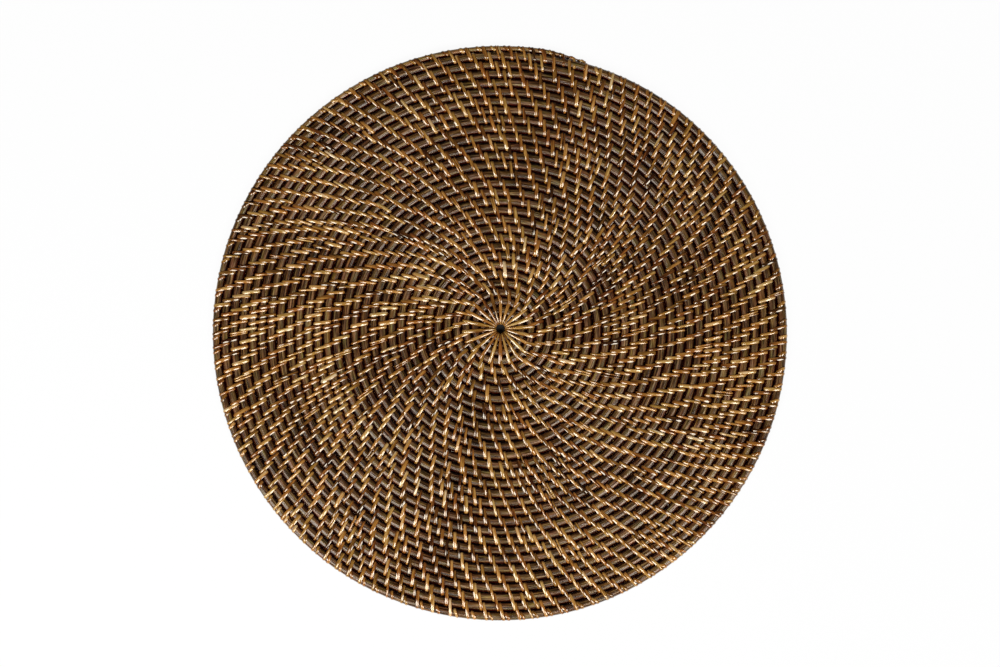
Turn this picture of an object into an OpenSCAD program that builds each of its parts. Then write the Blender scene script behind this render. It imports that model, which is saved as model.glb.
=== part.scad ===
// Round charger plate of coiled rattan: a rod wound flat from a small eye out to a tapered tail,
// bound row to row by split strips that lean into spiral arms.
// The underside lies on z = 0, and the plate is centred on the z axis.

/* [Core rod] */
// Diameter of the rattan rod that is coiled
rod_d = 4.65; // [3.5:0.05:7]
// Turns of the coil round the eye
turns = 29; // [10:1:36]
// Lengths of rod that are spliced end to end
rod_lengths = 5; // [2:1:8]
// Length of the shaved start that lies against the eye, in turns
start_turns = 0.7; // [0.4:0.05:0.7]
// Diameter of the shaved tail at its tip
tip_d = 2.4; // [1.5:0.1:3.4]
// Angle past the back of the plate at which the tail stops
tail_past = 10; // [2:1:30]
// Extra pitch of the turns at the front of the plate
front_ease = 0.2; // [0:0.02:0.4]

/* [Binding strip] */
// Thickness of the split strip
strip_t = 0.42; // [0.3:0.02:0.7]
// Width of the split strip
strip_w = 1.4; // [0.8:0.1:1.5]
// Wraps that radiate from the eye
arms = 22; // [12:1:24]
// Sideways step from a wrap to the one in the next row
lean = 2.9; // [2.2:0.1:4]
// Widest arc between two wraps of a row before one more is set between them
wrap_gap = 26; // [20:1:60]

/* [Eye] */
// Diameter of the open hole in the middle of the plate
hole_d = 5.2; // [4.5:0.1:10]

/* [Fits] */
// Clearance between a rod and a strip laid round it
lay_clear = 0.05; // [0.04:0.01:0.15]
// Clearance between a strip in a groove and the next turn of the rod
groove_clear = 0.1; // [0.05:0.01:0.3]

/* [Hidden] */
$fn = 48;
rod_colour = [0.36, 0.23, 0.13];
strip_colour = [0.74, 0.5, 0.22];
// Stations along a shaved end, and sides of its faceted section
taper_steps = 28;
taper_sides = 12;
// Points a turn on which gaps and the outline are measured
measure_steps = 72;
// Length of the shaved tail in turns, a whole number of half turns
tail_turns = 0.5;
// Most that a wrap steps back, as a share of the arc between two arms
most_step = 1 / 3;
// Rounding allowed where a splice falls on a half turn
run_slack = 0.001;

// Groove between two turns, which holds one thickness of strip
groove = lay_clear + strip_t + groove_clear;
back_pitch = rod_d + groove;
front_pitch = back_pitch + front_ease;
// Height of the rod's centre line, with a strip beneath it
mid_z = rod_d / 2 + lay_clear + strip_t;

// The eye, and the first crossings of the coil at the back and the front of the plate
eye_r = hole_d / 2 + strip_t + lay_clear + rod_d / 2;
eye_out = eye_r + rod_d / 2;
first_back = eye_out + groove + rod_d / 2;
first_front = first_back + (back_pitch + front_pitch) / 4;

// Place on the coil: u counts turns clockwise from the back. Even half turns run down the right
// side and odd ones up the left, each a half circle centred on the y axis.
function back(k) = first_back + k * back_pitch;
function front(k) = first_front + k * front_pitch;
function arc_in(h) = h % 2 == 0 ? back(h / 2) : front((h - 1) / 2);
function arc_out(h) = h % 2 == 0 ? front(h / 2) : back((h + 1) / 2);
function arc_r(h) = (arc_in(h) + arc_out(h)) / 2;
function arc_y(h) = (h % 2 == 0 ? 1 : -1) * (arc_in(h) - arc_out(h)) / 2;
function outward(u) = [sin(360 * u), cos(360 * u), 0];
function along(u) = [cos(360 * u), -sin(360 * u), 0];
function coil(u) = let (h = floor(2 * u)) [0, arc_y(h), 0] + arc_r(h) * outward(u);

// The tail is shaved on its outer side, evenly down to its tip
tail_from = turns - tail_turns;
tail_to = turns + tail_past / 360;
function coil_d(u) = u <= tail_from ? rod_d
  : rod_d + (tip_d - rod_d) * (u - tail_from) / (tail_to - tail_from);
function rod_mid(u) = coil(u) - outward(u) * (rod_d - coil_d(u)) / 2;
function pitch_at(u) = back_pitch + front_ease * (1 - cos(360 * u)) / 2;

// The start fills the room between the eye and the first turn
function start_d(u) = norm(coil(u + 1)) - rod_d / 2 - eye_out - 2 * groove;
function start_mid(u) = outward(u) * (eye_out + groove + start_d(u) / 2);

// Splices share the coil's length out evenly, at whole half turns
half_turns = 2 * tail_from;
function run_to(h) = h == 0 ? 0 : run_to(h - 1) + PI * arc_r(h - 1);
coil_run = run_to(half_turns);
splices = [
  for (i = [0 : rod_lengths])
    len([for (h = [1 : half_turns]) if (run_to(h) <= coil_run * i / rod_lengths + run_slack) h])];

// Wraps of the first course pass through the eye. Each later row steps back from the row inside it,
// and takes one more wrap where two stand too far apart.
eye_strip_w = min(strip_w, hole_d * tan(180 / arms) - groove_clear);
last_wrap = tail_to - strip_w / (2 * PI * norm(coil(tail_to)));
function step_back(u) = min(lean / (2 * PI * norm(coil(u))), most_step / arms);
function moved(row) = [for (u = row) u + 1 - step_back(u + 1)];
function filled(row) = [
  for (i = [0 : len(row) - 1])
    let (u = row[i], next = i + 1 < len(row) ? row[i + 1] : row[0] + 1)
      each (next - u) * 2 * PI * norm(coil(u)) > wrap_gap ? [u, (u + next) / 2] : [u]];
function grown(rows) = let (row = filled(moved(rows[len(rows) - 1])))
  row[0] > last_wrap ? rows : grown(concat(rows, [row]));
courses = grown([[for (i = [0 : arms - 1]) 1 + i / arms]]);
rows = len(courses) - 1;

// The outline is measured on the last turn and on its wraps, to centre the plate
rim_points = concat(
  [for (i = [0 : measure_steps]) let (u = tail_to - i / measure_steps)
    rod_mid(u) + outward(u) * coil_d(u) / 2],
  [for (row = [rows - 1 : rows], u = courses[row], side = [-1, 1]) if (u <= last_wrap)
    rod_mid(u) + outward(u) * (coil_d(u) / 2 + lay_clear + strip_t) + along(u) * side * strip_w / 2]);
function middle(axis) = let (v = [for (p = rim_points) p[axis]]) (min(v) + max(v)) / 2;
plate_mid = [middle(0), middle(1), 0];

// The least gap between one turn and the next, measured on points
turn_gap = min([
  for (i = [measure_steps : measure_steps * tail_from]) let (u = i / measure_steps)
    norm(coil(u) - coil(u - 1)) - rod_d]);
echo(str("Least gap between turns: ", turn_gap, " mm"));

module placed() {
  translate([0, 0, mid_z] - plate_mid) children();
}

module rod_section() {
  circle(d = rod_d);
}

// A round rod of changing diameter, swept through rings given as [middle, outward, diameter]
module tapered_rod(rings) {
  sides = taper_sides;
  last = len(rings) - 1;
  points = [
    for (ring = rings, j = [0 : sides - 1]) let (a = 360 * j / sides)
      ring[0] + (ring[1] * cos(a) + [0, 0, sin(a)]) * ring[2] / 2];
  walls = [
    for (i = [0 : last - 1], j = [0 : sides - 1]) let (k = (j + 1) % sides)
      each [
        [i * sides + j, i * sides + k, (i + 1) * sides + j],
        [i * sides + k, (i + 1) * sides + k, (i + 1) * sides + j]]];
  ends = [
    [for (j = [sides - 1 : -1 : 0]) j],
    [for (j = [0 : sides - 1]) last * sides + j]];
  polyhedron(points, concat(walls, ends));
}

// Outline round two rods, the second one at a distance along x
module belt(distance, r) {
  circle(r = r);
  translate([distance, 0]) circle(r = r);
  translate([0, -r]) square([distance, 2 * r]);
}

// One wrap of strip, from the inner rod's middle outward
module wrap(inner, toward, distance, width) {
  translate(inner) rotate(atan2(toward[1], toward[0])) rotate([90, 0, 0])
    linear_extrude(height = width, center = true) difference() {
      belt(distance, rod_d / 2 + lay_clear + strip_t);
      belt(distance, rod_d / 2 + lay_clear);
    }
}

// Rod curled into the closed eye in the middle
module eye_curl() {
  color(rod_colour) placed() rotate_extrude() translate([eye_r, 0]) rod_section();
}

// Shaved start of the coil
module core_start() {
  color(rod_colour) placed() tapered_rod([
    for (i = [0 : taper_steps]) let (u = -start_turns * (1 - i / taper_steps))
      [start_mid(u), outward(u), start_d(u)]]);
}

// One spliced length of the coil
module core_rod(i) {
  color(rod_colour) placed() for (h = [splices[i - 1] : splices[i] - 1])
    translate([0, arc_y(h), 0]) rotate(h % 2 == 0 ? -90 : 90)
      rotate_extrude(angle = 180) translate([arc_r(h), 0]) rod_section();
}

// Shaved tail that ends the coil at the rim
module core_tail() {
  color(rod_colour) placed() tapered_rod([
    for (i = [0 : taper_steps]) let (u = tail_from + (tail_to - tail_from) * i / taper_steps)
      [rod_mid(u), outward(u), coil_d(u)]]);
}

// First course of strip, through the hole and round the eye and the first two turns
module eye_binding() {
  color(strip_colour) placed() for (u = courses[0]) {
    toward = coil(u) / norm(coil(u));
    wrap(toward * eye_r, toward, norm(coil(u)) - eye_r, eye_strip_w);
  }
}

// One row of strip, wrapped round its own turn and the turn inside it
module binding_row(i) {
  color(strip_colour) placed() for (u = courses[i]) if (u <= last_wrap)
    wrap(coil(u) - outward(u) * pitch_at(u), outward(u), pitch_at(u) - rod_d + coil_d(u), strip_w);
}

eye_curl();
core_start();
for (i = [1 : rod_lengths]) core_rod(i);
core_tail();
eye_binding();
for (i = [1 : rows]) binding_row(i);
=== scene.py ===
import math

import bpy
import numpy as np
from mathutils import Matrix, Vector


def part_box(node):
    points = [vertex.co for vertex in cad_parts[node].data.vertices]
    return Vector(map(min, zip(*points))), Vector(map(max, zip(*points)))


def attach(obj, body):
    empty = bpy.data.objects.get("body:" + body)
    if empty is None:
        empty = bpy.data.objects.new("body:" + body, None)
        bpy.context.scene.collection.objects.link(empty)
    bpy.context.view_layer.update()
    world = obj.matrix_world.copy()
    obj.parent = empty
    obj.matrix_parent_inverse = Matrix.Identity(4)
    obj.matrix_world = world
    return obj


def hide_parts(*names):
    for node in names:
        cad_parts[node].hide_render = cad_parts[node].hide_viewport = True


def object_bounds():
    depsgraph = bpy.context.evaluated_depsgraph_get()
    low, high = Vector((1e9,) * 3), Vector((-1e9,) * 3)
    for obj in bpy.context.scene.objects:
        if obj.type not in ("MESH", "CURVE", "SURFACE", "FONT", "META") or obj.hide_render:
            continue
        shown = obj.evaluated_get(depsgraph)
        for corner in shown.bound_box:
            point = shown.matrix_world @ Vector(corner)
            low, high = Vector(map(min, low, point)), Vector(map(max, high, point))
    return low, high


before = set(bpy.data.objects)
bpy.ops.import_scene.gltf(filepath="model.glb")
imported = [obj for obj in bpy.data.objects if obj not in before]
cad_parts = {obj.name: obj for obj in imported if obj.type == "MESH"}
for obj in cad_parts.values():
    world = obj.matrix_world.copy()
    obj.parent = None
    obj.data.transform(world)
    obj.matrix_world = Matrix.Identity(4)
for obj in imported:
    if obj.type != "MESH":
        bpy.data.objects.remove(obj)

cad_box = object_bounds()

# The eye: the end of the rattan rod, soaked soft and curled into a closed ring round the small
# hole in the middle of the plate. The rod is peeled, stained dark brown and lacquered.
chance = np.random.default_rng(29)
rod_d = 0.00465
rod_sides = 16
eye_rings = 65
crisp_edge = math.radians(45)
up = np.array([0.0, 0.0, 1.0])
eye_low, eye_high = (np.array(corner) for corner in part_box("eye_curl"))
hole_middle = (eye_low + eye_high) / 2
eye_r = (eye_high[0] - eye_low[0] - rod_d) / 2

# How square and how wide the binding has pressed a rod, and how its thickness wavers along it.
press = 0.9
swell = 0.00012
long_waver, long_wave, long_start = 0.012, 0.031, 1.3
short_waver, short_wave = 0.01, 0.0117
most_thick = 1.02

# The stain: noises along the straightened rod, patches over the whole plate, and the shares of a
# rod's height at which the painted groove shade, with some stain pooled there, starts to clear and
# has gone.
grain_shift = 5
fibres = {"scale": (90, 1500, 1500), "detail": 5}
stretches = {"scale": (30, 260, 260), "detail": 3}
tints = {"scale": (110, 420, 420), "detail": 3}
hue_shift = np.array([1.2, 0.7, 2.4])
patch_scale = 22.0
patch_share = 0.3
rod_groove = 0.65
rod_crown = 0.86

# The rod's colours, as stops of (place, linear colour), and its lacquer.
dark_stain = [(0.49, (0.012, 0.003, 0.001)), (0.61, (0.068, 0.029, 0.008)),
              (0.73, (0.17, 0.087, 0.028)), (0.86, (0.34, 0.21, 0.08))]
gold_stain = [(0.47, (0.035, 0.012, 0.003)), (0.65, (0.12, 0.05, 0.012)),
              (0.85, (0.28, 0.15, 0.05))]
gold_share = [(0.5, (0.0, 0.0, 0.0)), (0.72, (0.8, 0.8, 0.8))]
bare_wood = [(0.3, (0.06, 0.022, 0.005)), (0.45, (0.23, 0.12, 0.035)), (0.65, (0.45, 0.28, 0.1))]
# Painted shade in the grooves between rods, with some stain pooled there: red-black low in a
# groove, no darkening on the crown.
groove_shade_and_stain = [(0.0, (0.18, 0.006, 0.002)), (0.5, (0.42, 0.26, 0.2)), (1.0, (1.0, 1.0, 1.0))]
rod_lacquer = {"rough": (0.15, 0.36), "relief": 1.0, "depth": 0.00026,
               "index": 1.58, "tint": (1.0, 0.92, 0.82)}


def outward(u):
    """Unit vector out from the middle of the plate, u turns clockwise from the back."""
    return np.stack([np.sin(2 * np.pi * u), np.cos(2 * np.pi * u), np.zeros_like(u)], axis=-1)


def flattened(a):
    """Place round a rod that the binding has pressed a little square: cosine and sine, each drawn
    towards one by the same power."""
    c, s = np.cos(a), np.sin(a)
    return np.sign(c) * np.abs(c) ** press, np.sign(s) * np.abs(s) ** press


def length_along(points):
    """Distance walked along a line of points, from its first point."""
    steps = np.linalg.norm(np.diff(points, axis=0), axis=1)
    return np.concatenate([[0.0], np.cumsum(steps)])


def new_piece(name, points, faces, material, attributes):
    """A smooth mesh piece on the plate's one body, with the point attributes that its material
    reads: vectors where they have as many axes as the points, and plain numbers otherwise."""
    mesh = bpy.data.meshes.new(name)
    mesh.from_pydata(points.reshape(-1, 3).tolist(), [], faces)
    for key, values in attributes.items():
        kind, field = ("FLOAT", "value")
        if values.ndim == points.ndim:
            kind, field = ("FLOAT_VECTOR", "vector")
        mesh.attributes.new(key, kind, "POINT").data.foreach_set(field, values.ravel())
    mesh.shade_smooth()
    mesh.set_sharp_from_angle(angle=crisp_edge)
    mesh.materials.append(material)
    piece = bpy.data.objects.new(name, mesh)
    bpy.context.collection.objects.link(piece)
    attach(piece, "root")
    return piece


def swept_rod(name, middles, out, diameters, material, on_rim=0, shaved=0):
    """A round rod carried along a line of middles.

    Each ring is a flattened circle, out and up from its middle, whose diameter wavers in a long
    and a short wave along the rod. Its attributes keep each point's place on the rod as if it lay
    straight, its share of the rod's height, which sets the painted groove shade and is whole on the
    open side of the rim where no neighbour shades it, and how far the skin is shaved.
    """
    run = length_along(middles)
    waver = (1 + long_waver * np.sin(run / long_wave + long_start)
             + short_waver * np.sin(run / short_wave))
    side, rise = flattened(2 * np.pi * np.arange(rod_sides) / rod_sides)
    half = (diameters * np.minimum(waver, most_thick) / 2)[:, None]
    across = (half + swell) * side
    height = half * rise
    points = (hole_middle + middles[:, None, :] + out[:, None, :] * across[..., None]
              + up * height[..., None])
    along = chance.uniform(0, grain_shift) + run[:, None]
    straight = np.stack(np.broadcast_arrays(along, across, height), axis=-1)
    open_side = np.asarray(on_rim).reshape(-1, 1) * (side > 0)
    crown = np.maximum(np.abs(rise), open_side) * np.ones_like(height)
    bared = np.asarray(shaved).reshape(-1, 1) * np.ones_like(height)
    ring = np.arange(len(middles) * rod_sides).reshape(-1, rod_sides)
    beside = np.roll(ring, -1, axis=1)
    walls = np.stack([ring[:-1], beside[:-1], beside[1:], ring[1:]], axis=-1).reshape(-1, 4)
    faces = walls.tolist() + [ring[0, ::-1].tolist(), ring[-1].tolist()]
    return new_piece(name, points, faces, material,
                     {"straight": straight, "crown": crown, "bared": bared})


def link(tree, source, output, node, socket):
    """Joins one node's output to another node's input."""
    tree.links.new(source.outputs[output], node.inputs[socket])


def point_value(tree, key):
    """A node that reads one of the piece's own point attributes."""
    node = tree.nodes.new("ShaderNodeAttribute")
    node.attribute_name = key
    return node


def stretched_noise(tree, source, scale, detail):
    """Noise on a vector attribute, stretched by its own scale on each axis."""
    mapping = tree.nodes.new("ShaderNodeMapping")
    mapping.inputs["Scale"].default_value = scale
    noise = tree.nodes.new("ShaderNodeTexNoise")
    noise.inputs["Scale"].default_value = 1.0
    noise.inputs["Detail"].default_value = detail
    link(tree, source, "Vector", mapping, "Vector")
    link(tree, mapping, "Vector", noise, "Vector")
    return noise


def with_share(tree, source, output, noise, share):
    """A value plus a share of a noise."""
    total = tree.nodes.new("ShaderNodeMath")
    total.operation = "MULTIPLY_ADD"
    total.inputs[1].default_value = share
    link(tree, noise, "Fac", total, 0)
    link(tree, source, output, total, 2)
    return total


def with_patches(tree, source, output):
    """A value plus broad patches of stain, which run over rods and strips alike."""
    place = tree.nodes.new("ShaderNodeTexCoord")
    patch = tree.nodes.new("ShaderNodeTexNoise")
    patch.inputs["Scale"].default_value = patch_scale
    patch.inputs["Detail"].default_value = 2.0
    link(tree, place, "Object", patch, "Vector")
    return with_share(tree, source, output, patch, patch_share)


def colour_ramp(tree, source, output, stops):
    """A colour ramp whose stops are given as (place, linear colour)."""
    ramp = tree.nodes.new("ShaderNodeValToRGB")
    elements = ramp.color_ramp.elements
    while len(elements) < len(stops):
        elements.new(0.5)
    for element, (place, colour) in zip(elements, stops):
        element.position = place
        element.color = (*colour, 1.0)
    link(tree, source, output, ramp, "Fac")
    return ramp


def darkened(tree, source, output, factor, factor_output):
    """A colour multiplied by another colour."""
    mix = tree.nodes.new("ShaderNodeMix")
    mix.data_type = "RGBA"
    mix.blend_type = "MULTIPLY"
    mix.inputs["Factor"].default_value = 1.0
    link(tree, source, output, mix, "A")
    link(tree, factor, factor_output, mix, "B")
    return mix


def blended(tree, factor, factor_output, a, a_output, b, b_output):
    """A colour between a and b, by a factor from nought to one."""
    mix = tree.nodes.new("ShaderNodeMix")
    mix.data_type = "RGBA"
    link(tree, factor, factor_output, mix, "Factor")
    link(tree, a, a_output, mix, "A")
    link(tree, b, b_output, mix, "B")
    return mix


def rising(tree, source, output, low, high):
    """Nought to one as a value rises from low to high."""
    span = tree.nodes.new("ShaderNodeMapRange")
    span.inputs["From Min"].default_value = low
    span.inputs["From Max"].default_value = high
    link(tree, source, output, span, "Value")
    return span


def painted_groove_shade(tree, low, high):
    """Painted shade in the grooves, with some stain pooled there: a tint from red-black low in a
    groove to none on a crown.
    """
    unshaded = rising(tree, point_value(tree, "crown"), "Fac", low, high)
    return colour_ramp(tree, unshaded, "Result", groove_shade_and_stain)


def shifted_hue(tree, source, output, noise):
    """A colour whose red, green and blue each waver a little, by a noise's three channels."""
    tint = tree.nodes.new("ShaderNodeVectorMath")
    tint.operation = "MULTIPLY_ADD"
    tint.inputs[1].default_value = hue_shift
    tint.inputs[2].default_value = 1 - hue_shift / 2
    link(tree, noise, "Color", tint, 0)
    return darkened(tree, source, output, tint, "Vector")


def lacquered(tree, fibre, rough, relief, depth, index, tint):
    """Lacquer on the fibres: their noise sets the roughness between two limits and lifts the
    surface in fine relief, and the gloss has a warm tint."""
    shader = tree.nodes["Principled BSDF"]
    gloss = tree.nodes.new("ShaderNodeMapRange")
    gloss.inputs["To Min"].default_value, gloss.inputs["To Max"].default_value = rough
    link(tree, fibre, "Fac", gloss, "Value")
    link(tree, gloss, "Result", shader, "Roughness")
    bump = tree.nodes.new("ShaderNodeBump")
    bump.inputs["Strength"].default_value = relief
    bump.inputs["Distance"].default_value = depth
    link(tree, fibre, "Fac", bump, "Height")
    link(tree, bump, "Normal", shader, "Normal")
    shader.inputs["IOR"].default_value = index
    shader.inputs["Specular Tint"].default_value = (*tint, 1.0)


def stained_rattan():
    """Dark brown rod: long fibre streaks, paler and golden stretches, painted shade with some
    pooled stain towards the grooves, lacquer over all.
    """
    material = bpy.data.materials.new("stained_rattan")
    material.use_nodes = True
    tree = material.node_tree
    straight = point_value(tree, "straight")
    fibre = stretched_noise(tree, straight, **fibres)
    stain = with_patches(tree, fibre, "Fac")
    dark = colour_ramp(tree, stain, "Value", dark_stain)
    gold = colour_ramp(tree, stain, "Value", gold_stain)
    wood = colour_ramp(tree, fibre, "Fac", bare_wood)
    share = colour_ramp(tree, stretched_noise(tree, straight, **stretches), "Fac", gold_share)
    toned = blended(tree, share, "Color", dark, "Color", gold, "Color")
    skinned = blended(tree, point_value(tree, "bared"), "Fac", toned, "Result", wood, "Color")
    tinted = shifted_hue(tree, skinned, "Result", stretched_noise(tree, straight, **tints))
    # Painted shade, with some pooled stain, darkens the rod towards its grooves.
    groove_shaded = darkened(tree, tinted, "Result", painted_groove_shade(tree, rod_groove, rod_crown), "Color")
    link(tree, groove_shaded, "Result", tree.nodes["Principled BSDF"], "Base Color")
    lacquered(tree, fibre, **rod_lacquer)
    return material


rattan = stained_rattan()
eye_out = outward(np.linspace(0, 1, eye_rings))
eye = swept_rod("eye_rod", eye_r * eye_out, eye_out, np.full(eye_rings, rod_d), rattan)
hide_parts("eye_curl")

# The coil: five lengths of the same rod, spliced end to end and wound clockwise round the eye. A
# shaved start fills the crescent beside the eye, and a shaved tail ends the coil at the rim.
# Nothing but the binding holds the turns together.
strip_t = 0.00042
lay_clear = 0.00005
groove_clear = 0.0001
groove = lay_clear + strip_t + groove_clear
turns = 29
front_ease = 0.0002
back_pitch = rod_d + groove
front_pitch = back_pitch + front_ease
eye_edge = eye_r + rod_d / 2
first_back = eye_edge + groove + rod_d / 2
first_front = first_back + (back_pitch + front_pitch) / 4
ring_step = 0.004
least_rings = 48

# The swing of the turns at the back right, and the number of turns over which it grows.
swing = 0.00178
swing_grown = 8
swing_span = (0, 0.125, 0.42, 1)

# The start, the splices and the tail, as counts of turns from the first crossing at the back.
start_turns = 0.7
start_rings = 60
tip_d = 0.0025
point_d = 0.0002
tail_from = turns - 0.5
thin_from = turns - 0.4
bare_from = turns - 0.2
bare_to = turns - 0.08
tail_bind = turns + 9.4 / 360
tail_to = turns + 16.8 / 360
rim_from = tail_to - 1
splices = (0, 11.5, 17, 21.5, 25, tail_from)


def swung_out(u):
    """How far a turn swings out at the back right, as the real ones do: a wave that rises from
    the back, is highest an eighth of a turn on and is gone by the front. The first turns have
    less of it."""
    wave = 1 + np.cos(np.pi * np.interp(u % 1, swing_span, (-1, 0, 1, 1)))
    return swing * np.clip(u / swing_grown, 0, 1) * wave / 2


def coil(u):
    """Middle of the rod, u turns clockwise from the back.

    Every half turn is a half circle between a crossing at the back and one at the front, and each
    crossing lies one pitch further out than the one before it. The right half also swings out.
    """
    half = np.floor(2 * u)
    whole = np.floor(half / 2)
    back = first_back + (whole + half % 2) * back_pitch
    front = first_front + whole * front_pitch
    middle = np.zeros(u.shape + (3,))
    middle[..., 1] = (back - front) / 2
    return middle + ((back + front) / 2 + swung_out(u))[..., None] * outward(u)


def coil_d(u):
    """Rod diameter, which falls evenly along the tail and then to a point."""
    return np.interp(u, (thin_from, tail_bind, tail_to), (rod_d, tip_d, point_d))


def rod_middle(u):
    """Middle of the rod, with the tail shaved on its outer side."""
    return coil(u) - outward(u) * ((rod_d - coil_d(u)) / 2)[..., None]


def stations(first, last):
    """Places from first to last turn, with one at every crossing: about one ring step apart, and
    no fewer to a turn than the least rings."""
    crossings = np.arange(np.ceil(2 * first), 2 * last) / 2
    marks = np.unique(np.concatenate([[first], crossings, [last]]))
    radius = np.linalg.norm(coil(marks[:-1]), axis=1)
    counts = np.maximum(least_rings, 2 * np.pi * radius / ring_step) * np.diff(marks)
    spans = [np.linspace(a, b, max(2, round(n)), endpoint=False)
             for a, b, n in zip(marks[:-1], marks[1:], counts)]
    return np.concatenate(spans + [[last]])


start_u = np.linspace(-start_turns, 0, start_rings)
start_d = np.linalg.norm(coil(start_u + 1), axis=1) - rod_d / 2 - eye_edge - 2 * groove
start_middle = outward(start_u) * (eye_edge + groove + start_d / 2)[:, None]
start_rod = swept_rod("start_rod", start_middle, outward(start_u), start_d, rattan)
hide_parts("core_start")
for i, (first, last) in enumerate(zip(splices[:-1], splices[1:]), 1):
    u = stations(first, last)
    length = swept_rod(f"coil_rod_{i}", coil(u), outward(u), np.full(len(u), rod_d), rattan,
                       u > rim_from)
    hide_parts(f"core_rod_{i}")
tail_u = stations(tail_from, tail_to)
tail_bared = np.interp(tail_u, (bare_from, bare_to, tail_bind, tail_to), (0, 1, 1, 0))
tail = swept_rod("tail_rod", rod_middle(tail_u), outward(tail_u), coil_d(tail_u), rattan,
                 tail_u > rim_from, tail_bared)
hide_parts("core_tail")

# The first course of binding: one split strip of rattan skin, stained and lacquered, passed
# through the hole and round the eye and the first turns. It fans out into the star in the middle.
arms = 22
strip_w = 0.002
star_w = 0.0021
star_taper = 0.26
star_spread = (0.85, 1.1)
star_tone, star_tone_waver = -0.16, 0.1
roll_waver = 0.14
hole_pile = 0.00028
section_across = np.array([-0.5, -0.5, -0.16, 0.16, 0.5, 0.5])
section_height = np.array([-0.65, -0.25, 0.6, 0.6, -0.25, -0.65])

# The stations of one stitch, up its own turn's outer side, over to the turn inside, down there and
# back below. Each has an angle round its rod, a share of the way to the turn inside, a share of
# the stitch's lean, and a share of the run on to the next stitch.
wrap_angles = np.radians([-20, 18, 42, 66, 90, 114, 138, 162, 200, 250, 290])
wrap_inner = np.array([0, 0, 0, 0, 0.5, 1, 1, 1, 1, 1, 0])
wrap_lean = np.where(wrap_angles > np.pi, 1, (1 + 2 * wrap_inner - np.cos(wrap_angles)) / 4)
wrap_under = np.array([0, 0, 0, 0, 0, 0, 0, 0, 0, 0.3, 0.7])
run_on = np.count_nonzero(wrap_under)
wrap_r = rod_d / 2 + strip_t / 2

# The strip's colours, as stops of (place, linear colour), its noises, its dark cut edges with
# painted shade along them as shares of its width, the shares of height over which the painted
# groove shade, with some pooled stain, clears, and its lacquer.
honey_skin = [(0.2, (0.034, 0.012, 0.002)), (0.42, (0.185, 0.076, 0.013)),
              (0.62, (0.395, 0.203, 0.037)), (0.82, (0.585, 0.37, 0.115)),
              (1.0, (0.77, 0.59, 0.33))]
russet_skin = [(0.2, (0.05, 0.011, 0.002)), (0.42, (0.23, 0.07, 0.012)),
               (0.62, (0.44, 0.182, 0.033)), (0.82, (0.62, 0.338, 0.1)), (1.0, (0.8, 0.56, 0.31))]
russet_share = [(0.4, (0.0, 0.0, 0.0)), (0.6, (1.0, 1.0, 1.0))]
# Dark cut edges with painted shade along them, from none to red-black at the very edge.
cut_edge_and_shade = [(0.0, (1.0, 1.0, 1.0)), (0.55, (0.6, 0.38, 0.25)), (1.0, (0.12, 0.04, 0.02))]
skin_lines = {"scale": (110, 1000, 40), "detail": 5}
skin_hues = {"scale": (25, 0, 20), "detail": 2}
line_share = 1.2
edge_from, edge_to = 0.3, 0.5
strip_groove = 0.25
strip_crown = 0.7
strip_lacquer = {"rough": (0.05, 0.2), "relief": 0.35, "depth": 0.0001,
                 "index": 1.95, "tint": (1.0, 0.91, 0.75)}


def strip_faces(count):
    """Walls between neighbouring sections of one strip, and its two cut ends."""
    size = len(section_across)
    ring = np.arange(count * size).reshape(-1, size)
    beside = np.roll(ring, -1, axis=1)
    walls = np.stack([ring[:-1], ring[1:], beside[1:], beside[:-1]], axis=-1).reshape(-1, 4)
    return walls.tolist() + [ring[0].tolist(), ring[-1, ::-1].tolist()]


def wound_strip(name, inner, outer, out, radius, widths, roll, tone, material, open_side):
    """One strip wound round two rods, stitch after stitch.

    The first three arrays hold one vector for every stitch and station. A station's middle lies on
    the circle round the rod that it touches, and its lens section stands square to the strip's
    run, rolled a little from stitch to stitch. The last stitch has no run on to another.
    """
    rod = outer + (inner - outer) * wrap_inner[:, None]
    side, rise = flattened(wrap_angles)
    lift = out * side[:, None] + up * rise[:, None]
    line = (rod + lift * radius[..., None]).reshape(-1, 3)[:-run_on]
    lift = lift.reshape(-1, 3)[:-run_on]
    run = np.gradient(line, axis=0)
    run /= np.linalg.norm(run, axis=1)[:, None]
    across = np.cross(run, lift)
    across /= np.linalg.norm(across, axis=1)[:, None]
    lean_out = np.cross(across, run)
    turn = np.repeat(roll, len(wrap_angles))[:-run_on, None]
    wide = across * np.cos(turn) + lean_out * np.sin(turn)
    high = lean_out * np.cos(turn) - across * np.sin(turn)
    width = widths.reshape(-1)[:-run_on]
    spread = width[:, None] * section_across
    points = (hole_middle + line[:, None, :] + wide[:, None, :] * spread[..., None]
              + high[:, None, :] * (strip_t * section_height)[None, :, None])
    edge = strip_w * section_across
    along = chance.uniform(0, grain_shift) + length_along(line)
    tones = np.repeat(tone, len(wrap_angles))[:-run_on]
    lay = np.stack(np.broadcast_arrays(along[:, None], edge, tones[:, None]), axis=-1)
    # Share of height for the painted groove shade, whole where open_side is set.
    crown = np.maximum(np.abs(np.sin(wrap_angles)), open_side) * np.ones_like(radius)
    crown = np.repeat(crown.reshape(-1)[:-run_on, None], len(edge), axis=1)
    return new_piece(name, points, strip_faces(len(line)), material,
                     {"lay": lay, "crown": crown})


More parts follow.
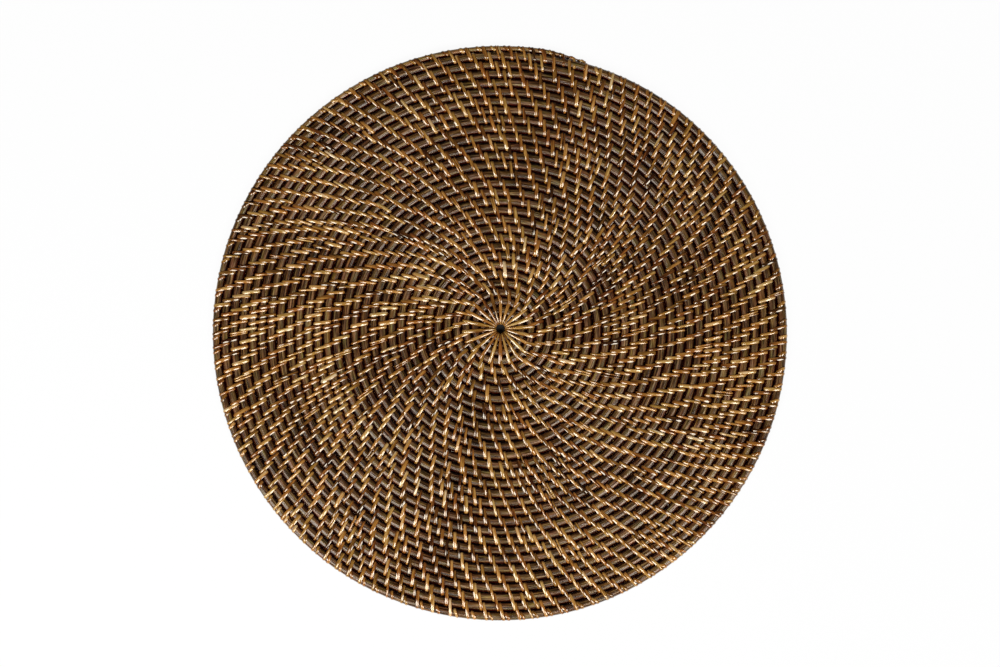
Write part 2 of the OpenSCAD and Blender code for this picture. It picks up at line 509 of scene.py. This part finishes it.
def split_skin():
    """Split rattan skin: honey to reddish and pale strips, fine lengthwise lines, dark cut edges
    with painted shade along them, painted shade where the strip dives into a groove, glossy
    lacquer."""
    material = bpy.data.materials.new("split_skin")
    material.use_nodes = True
    tree = material.node_tree
    lay = point_value(tree, "lay")
    parts = tree.nodes.new("ShaderNodeSeparateXYZ")
    link(tree, lay, "Vector", parts, "Vector")
    line = stretched_noise(tree, lay, **skin_lines)
    shade = with_patches(tree, with_share(tree, parts, "Z", line, line_share), "Value")
    honey = colour_ramp(tree, shade, "Value", honey_skin)
    russet = colour_ramp(tree, shade, "Value", russet_skin)
    redness = colour_ramp(tree, stretched_noise(tree, lay, **skin_hues), "Fac", russet_share)
    tone = blended(tree, redness, "Color", honey, "Color", russet, "Color")
    side = tree.nodes.new("ShaderNodeMath")
    side.operation = "ABSOLUTE"
    link(tree, parts, "Y", side, 0)
    # Painted shade along both edges of the strip, on top of its dark cut edges.
    cut = rising(tree, side, "Value", edge_from * strip_w, edge_to * strip_w)
    edged = darkened(tree, tone, "Result", colour_ramp(tree, cut, "Result", cut_edge_and_shade), "Color")
    # Painted shade where the strip dives into a groove, with some pooled stain.
    toned = painted_groove_shade(tree, strip_groove, strip_crown)
    groove_shaded = darkened(tree, edged, "Result", toned, "Color")
    link(tree, groove_shaded, "Result", tree.nodes["Principled BSDF"], "Base Color")
    lacquered(tree, line, **strip_lacquer)
    return material


def wrap_places(starts, lean, ends):
    """Turns at which each stitch's stations lie: leaning over the top by their shares of the lean,
    then on to the next stitch by their shares of what is left."""
    over = starts[:, None] + lean[:, None] * wrap_lean
    return over + (ends - starts - lean)[:, None] * wrap_under


skin = split_skin()
row = 1 + np.arange(arms) / arms
places = wrap_places(row, np.zeros(arms), row + 1 / arms)
outer = coil(places)
reach = np.linalg.norm(outer, axis=-1)[..., None]
out = outer / reach
inner = out * eye_r
radii = reach[..., 0] + (eye_r - reach[..., 0]) * wrap_inner + wrap_r * np.cos(wrap_angles)
widths = np.minimum(star_w * chance.uniform(*star_spread, (arms, 1)), star_taper * radii)
in_hole = wrap_inner == 1
piled = wrap_r + hole_pile * np.maximum(0, -np.cos(wrap_angles)) * in_hole
star = wound_strip("eye_strip", inner, outer, out, piled * np.ones(places.shape), widths,
                   chance.normal(0, roll_waver, arms),
                   chance.normal(star_tone, star_tone_waver, arms), skin, in_hole)
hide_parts("eye_binding")

# The binding rows: more of the same strip, wound on and on, each stitch pulled tight round its own
# turn and the turn inside it. Stitches step back from row to row, which leans them into spiral
# arms. On the rim, short stitches go round the last rod alone, and close ties hold the tail.
rows = 28
row_step = 0.00322
most_step = 0.36
row_waver = 0.0002
stitch_gap = 0.0109
gap_waver = 0.05
ease = 0.35
ease_rounds = 2
slant_mean = 0.0022
slant_swing = 0.0005
slant_most = 0.4
slant_waver = 0.0004
room_share = 0.42
width_waver = 0.12
plain, narrow, rim_only = 0, 1, 2
twin_share = 0.03
twin_gap = 0.0013
twin_w = 0.0012
short_place = 0.66
tie_from = turns + 6.3 / 360
tie_step = 2.1 / 360

# Tones: the mean, how far runs of like strips and single stitches stray from it, and a few dark.
row_tone = -0.21
like_run = 9
run_waver = 0.09
single_waver = 0.08
dark_share = 0.03
dark_drop = 0.25


def strip_tones(number):
    """Tone of each stitch: strips follow each other in runs of like colour, which are sums over
    neighbours of a random number, and a few are dark."""
    run = np.convolve(chance.normal(0, 1, number + like_run - 1), np.ones(like_run), "valid")
    tone = row_tone + run_waver * run / math.sqrt(like_run) + chance.normal(0, single_waver, number)
    return tone - dark_drop * (chance.random(number) < dark_share)


def girth(u):
    """Length of the turn that passes through u."""
    return 2 * np.pi * np.linalg.norm(coil(u), axis=-1)


def neighbours(row):
    """Places of the stitches before and after each one, where the row meets itself a turn on."""
    before = np.concatenate([[row[-1] - 1], row[:-1]])
    after = np.concatenate([row[1:], [row[0] + 1]])
    return before, after


def next_row(row):
    """Places of the next row's stitches.

    Each lies a turn on and a step back from a stitch of the row inside it, and is drawn towards the
    middle of its neighbours. A gap that has grown too wide takes one stitch more.
    """
    moved = row + 1 - np.minimum(row_step / girth(row + 1), most_step / arms)
    after = neighbours(moved)[1]
    most_gap = stitch_gap * chance.normal(1, gap_waver, len(moved))
    wide = (after - moved) * girth(moved) > most_gap
    moved = np.sort(np.concatenate([moved, (moved + after)[wide] / 2]))
    for _ in range(ease_rounds):
        before, after = neighbours(moved)
        moved = moved + ease * ((before + after) / 2 - moved)
    return moved + chance.normal(0, row_waver, len(moved)) / girth(moved)


for i in range(1, rows + 1):
    row = next_row(row)
    ties = np.arange(tie_from, tail_to, tie_step) if row[-1] > tie_from else []
    starts = np.concatenate([row[row < tie_from], ties])
    twin = chance.random(len(starts)) < twin_share
    twins = starts[twin] + twin_gap / girth(starts[twin])
    shorts = (starts[:-1] + short_place * np.diff(starts))[starts[:-1] > rim_from]
    kind = np.concatenate([np.where(twin, narrow, plain), np.full(len(twins), narrow),
                           np.full(len(shorts), rim_only)])
    starts = np.concatenate([starts, twins, shorts])
    order = np.argsort(starts)
    starts, kind = starts[order], kind[order]
    ends = np.concatenate([starts[1:], starts[-1:] + 1 / len(row)])
    number = len(starts)
    slant = slant_mean + slant_swing * np.cos(4 * np.pi * (starts - slant_most))
    slant = slant + chance.normal(0, slant_waver, number)
    places = wrap_places(starts, slant / girth(starts), ends)
    short = (kind == rim_only)[:, None]
    outer = rod_middle(places)
    inner = np.where(short[..., None], outer, coil(places - 1))
    thin = (rod_d - coil_d(places)) / 2 * np.where(short, 1, 1 - wrap_inner)
    room = room_share * girth(starts) / len(row)
    widths = np.minimum(strip_w, room) * chance.normal(1, width_waver, number)
    widths = np.where(kind == narrow, twin_w, widths)[:, None] * np.ones(len(wrap_angles))
    # The outer side of rim stitches has no neighbour, so the painted groove shade stays off it.
    open_side = (starts > rim_from)[:, None] & (np.cos(wrap_angles) > 0)
    binding = wound_strip(f"binding_strip_{i}", inner, outer, outward(places), wrap_r - thin,
                          widths, chance.normal(0, roll_waver, number), strip_tones(number), skin,
                          open_side)
    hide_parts(f"binding_row_{i}")

# The stage: a plain floor that is white to the camera, and painted near-black under the plate as
# painted shade on top of the shade that falls there. Two soft lamps stand at the front, a near
# one on the left and a far one on the right, and the camera looks straight down at the
# photograph's framing.
floor_z = -0.0001
floor_reach = 4
rim_points = 240
dark_edge = 0.0012
white_edge = 0.0003
floor_glow = 0.95
# Painted shade: near-black paint under the plate, white paint beyond the rim.
floor_paint_and_shade = [(0.0, (0.03, 0.03, 0.03)), (0.5, (0.93, 0.93, 0.93))]
room_light = 0.03
pixel = 0.0005735
camera_height = 2.5
plate_pixel = (499.2, 332.9)
frame_pixel = (1000, 667)


def reckoned(tree, operation, a, a_output, b, b_output):
    """Two values joined by one step of arithmetic."""
    node = tree.nodes.new("ShaderNodeMath")
    node.operation = operation
    link(tree, a, a_output, node, 0)
    link(tree, b, b_output, node, 1)
    return node


def white_floor():
    """White paint that glows white to the camera and in reflections, but not under the plate, by
    the floor's own point attribute. Under the plate the paint is near-black, as painted shade."""
    material = bpy.data.materials.new("white_floor")
    material.use_nodes = True
    tree = material.node_tree
    paint = tree.nodes["Principled BSDF"]
    paint.inputs["Roughness"].default_value = 0.9
    beyond = point_value(tree, "lit")
    link(tree, colour_ramp(tree, beyond, "Fac", floor_paint_and_shade), "Color", paint, "Base Color")
    rays = tree.nodes.new("ShaderNodeLightPath")
    seen = reckoned(tree, "MAXIMUM", rays, "Is Camera Ray", rays, "Is Glossy Ray")
    seen = reckoned(tree, "MAXIMUM", seen, "Value", rays, "Is Transmission Ray")
    share = reckoned(tree, "MULTIPLY", seen, "Value", beyond, "Fac")
    glow = tree.nodes.new("ShaderNodeEmission")
    blend = tree.nodes.new("ShaderNodeMixShader")
    link(tree, share, "Value", blend, 0)
    link(tree, paint, "BSDF", blend, 1)
    link(tree, glow, "Emission", blend, 2)
    link(tree, blend, "Shader", tree.nodes["Material Output"], "Surface")
    return material


rim_u = np.linspace(tail_to, rim_from, rim_points)
rim = hole_middle + rod_middle(rim_u) + outward(rim_u) * (coil_d(rim_u) / 2)[:, None]
rim_reach = np.linalg.norm(rim[:, :2], axis=1)
scales = np.stack([1 - dark_edge / rim_reach, 1 - white_edge / rim_reach, floor_reach / rim_reach])
rings = rim * scales[..., None]
rings[..., 2] = floor_z
ring = np.arange(scales.size).reshape(scales.shape)
beside = np.roll(ring, -1, axis=1)
quads = np.stack([ring[:-1], ring[1:], beside[1:], beside[:-1]], axis=-1).reshape(-1, 4)
floor_mesh = bpy.data.meshes.new("floor")
floor_mesh.from_pydata(rings.reshape(-1, 3).tolist(), [], [ring[0].tolist()] + quads.tolist())
lit = np.repeat([0.0, floor_glow, floor_glow], rim_points)
floor_mesh.attributes.new("lit", "FLOAT", "POINT").data.foreach_set("value", lit)
floor_mesh.materials.append(white_floor())
floor = bpy.data.objects.new("floor", floor_mesh)
bpy.context.collection.objects.link(floor)


def soft_light(name, place, size, power):
    """A rectangular area lamp that faces the middle of the plate: tipped by its angle from the
    upright, then turned by its bearing."""
    lamp = bpy.data.lights.new(name, "AREA")
    lamp.shape = "RECTANGLE"
    lamp.size, lamp.size_y = size
    lamp.energy = power
    holder = bpy.data.objects.new(name, lamp)
    holder.location = place
    x, y, z = place
    holder.rotation_euler = (math.atan2(math.hypot(x, y), z), 0, math.atan2(y, x) + math.pi / 2)
    bpy.context.collection.objects.link(holder)


soft_light("right_light", place=(1.28, -1.52, 2.11), size=(1.28, 1.5), power=56.5)
soft_light("left_light", place=(-0.51, -0.61, 0.845), size=(0.51, 0.6), power=9.1)

world = bpy.data.worlds.new("studio")
world.use_nodes = True
world.node_tree.nodes["Background"].inputs["Color"].default_value = (1, 1, 1, 1)
world.node_tree.nodes["Background"].inputs["Strength"].default_value = room_light
bpy.context.scene.world = world
bpy.context.scene.view_settings.view_transform = "Standard"

lens = bpy.data.cameras.new("camera")
lens.sensor_width = 36
lens.lens = lens.sensor_width * camera_height / (frame_pixel[0] * pixel)
camera = bpy.data.objects.new("camera", lens)
plate_top = cad_box[1][2]
camera.location = ((frame_pixel[0] / 2 - plate_pixel[0]) * pixel,
                   (plate_pixel[1] - frame_pixel[1] / 2) * pixel, plate_top + camera_height)
bpy.context.collection.objects.link(camera)
bpy.context.scene.camera = camera
